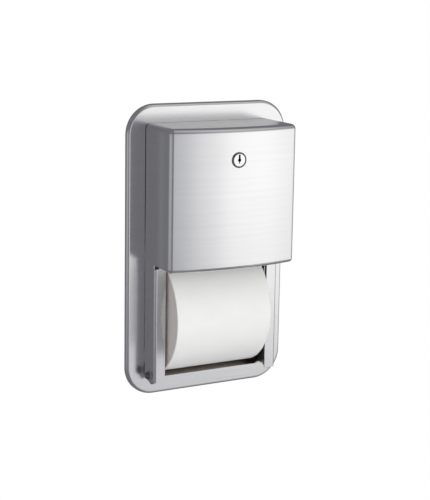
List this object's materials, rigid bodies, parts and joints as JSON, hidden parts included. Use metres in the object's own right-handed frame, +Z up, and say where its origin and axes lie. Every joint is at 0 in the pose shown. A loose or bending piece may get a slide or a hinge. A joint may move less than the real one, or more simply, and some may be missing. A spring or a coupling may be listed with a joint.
{
  "type": "recessed toilet paper dispenser",
  "caption": "Recessed stainless toilet paper dispenser with a hinged, lockable hood, a roll in use below and a reserve roll above.",
  "frame": {"origin": "centre of the wall flange and of the wall opening, on the finished wall surface", "axes": "-Y points out of the wall into the room, +Y into the wall, +Z up, +X to the right seen from the room"},
  "size_m": [0.192, 0.1627, 0.318],
  "materials": {
    "satin_steel": "fine horizontal grain",
    "cabinet_steel": "mill finish sheet",
    "rivet_steel": "drawn, smooth",
    "chrome": "bright plate",
    "zinc": "zinc plated steel",
    "nylon": "moulded nylon",
    "grey_plastic": "moulded, fine texture",
    "paper": "soft embossed tissue",
    "cardboard": "spiral wound board"
  },
  "bodies": {
    "cabinet": {"wall_flange": "satin_steel", "cabinet_wrap": "cabinet_steel", "right_cabinet_side": "cabinet_steel", "left_cabinet_side": "cabinet_steel", "right_track_plate": "cabinet_steel", "left_track_plate": "cabinet_steel", "right_hinge_ear": "cabinet_steel", "left_hinge_ear": "cabinet_steel", "lock_strike": "zinc", "right_ear_rivet_1": "rivet_steel", "left_ear_rivet_1": "rivet_steel", "right_ear_rivet_2": "rivet_steel", "left_ear_rivet_2": "rivet_steel", "right_track_rivet_1": "rivet_steel", "left_track_rivet_1": "rivet_steel", "right_track_rivet_2": "rivet_steel", "left_track_rivet_2": "rivet_steel", "right_strike_rivet": "rivet_steel", "left_strike_rivet": "rivet_steel", "right_door_pin": "rivet_steel", "left_door_pin": "rivet_steel", "right_inner_washer": "nylon", "left_inner_washer": "nylon", "right_lever_pin": "rivet_steel", "left_lever_pin": "rivet_steel"},
    "door": {"door_shell": "satin_steel", "right_outer_washer": "rivet_steel", "left_outer_washer": "rivet_steel", "lock_body": "chrome", "lock_nut": "zinc"},
    "lock_plug_set": {"lock_plug": "chrome", "lock_cam": "zinc", "cam_screw": "zinc"},
    "drop_lever": {"right_drop_lever": "zinc", "left_drop_lever": "zinc", "feeler_rod": "zinc"},
    "lower_spindle_set": {"lower_spindle": "grey_plastic"},
    "upper_spindle_set": {"upper_spindle": "grey_plastic"},
    "lower_roll": {"lower_core": "cardboard", "lower_paper": "paper"},
    "upper_roll": {"upper_core": "cardboard", "upper_paper": "paper"}
  },
  "joints": [
    {"name": "door_hinge", "type": "hinge", "parent": "cabinet", "child": "door", "pos_m": [0, -0.018, -0.1335], "axis": [1, 0, 0], "range_deg": [0, 110]},
    {"name": "lock_turn", "type": "hinge", "parent": "door", "child": "lock_plug_set", "pos_m": [0, -0.074, 0.1052], "axis": [0, -1, 0], "range_deg": [0, 90]},
    {"name": "lower_spindle_turn", "type": "hinge", "parent": "cabinet", "child": "lower_spindle_set", "pos_m": [0, 0.015, -0.0685], "axis": [1, 0, 0], "continuous": true},
    {"name": "upper_spindle_turn", "type": "hinge", "parent": "cabinet", "child": "upper_spindle_set", "pos_m": [0, 0.015, 0.0705], "axis": [1, 0, 0], "continuous": true},
    {"name": "lower_roll_turn", "type": "hinge", "parent": "cabinet", "child": "lower_roll", "pos_m": [0, 0.015, -0.0715], "axis": [1, 0, 0], "continuous": true},
    {"name": "upper_roll_turn", "type": "hinge", "parent": "cabinet", "child": "upper_roll", "pos_m": [0, 0.015, 0.0675], "axis": [1, 0, 0], "continuous": true},
    {"name": "drop_lever_swing", "type": "hinge", "parent": "cabinet", "child": "drop_lever", "pos_m": [0, 0.014, 0.118], "axis": [1, 0, 0], "range_deg": [0, 6]}
  ]
}
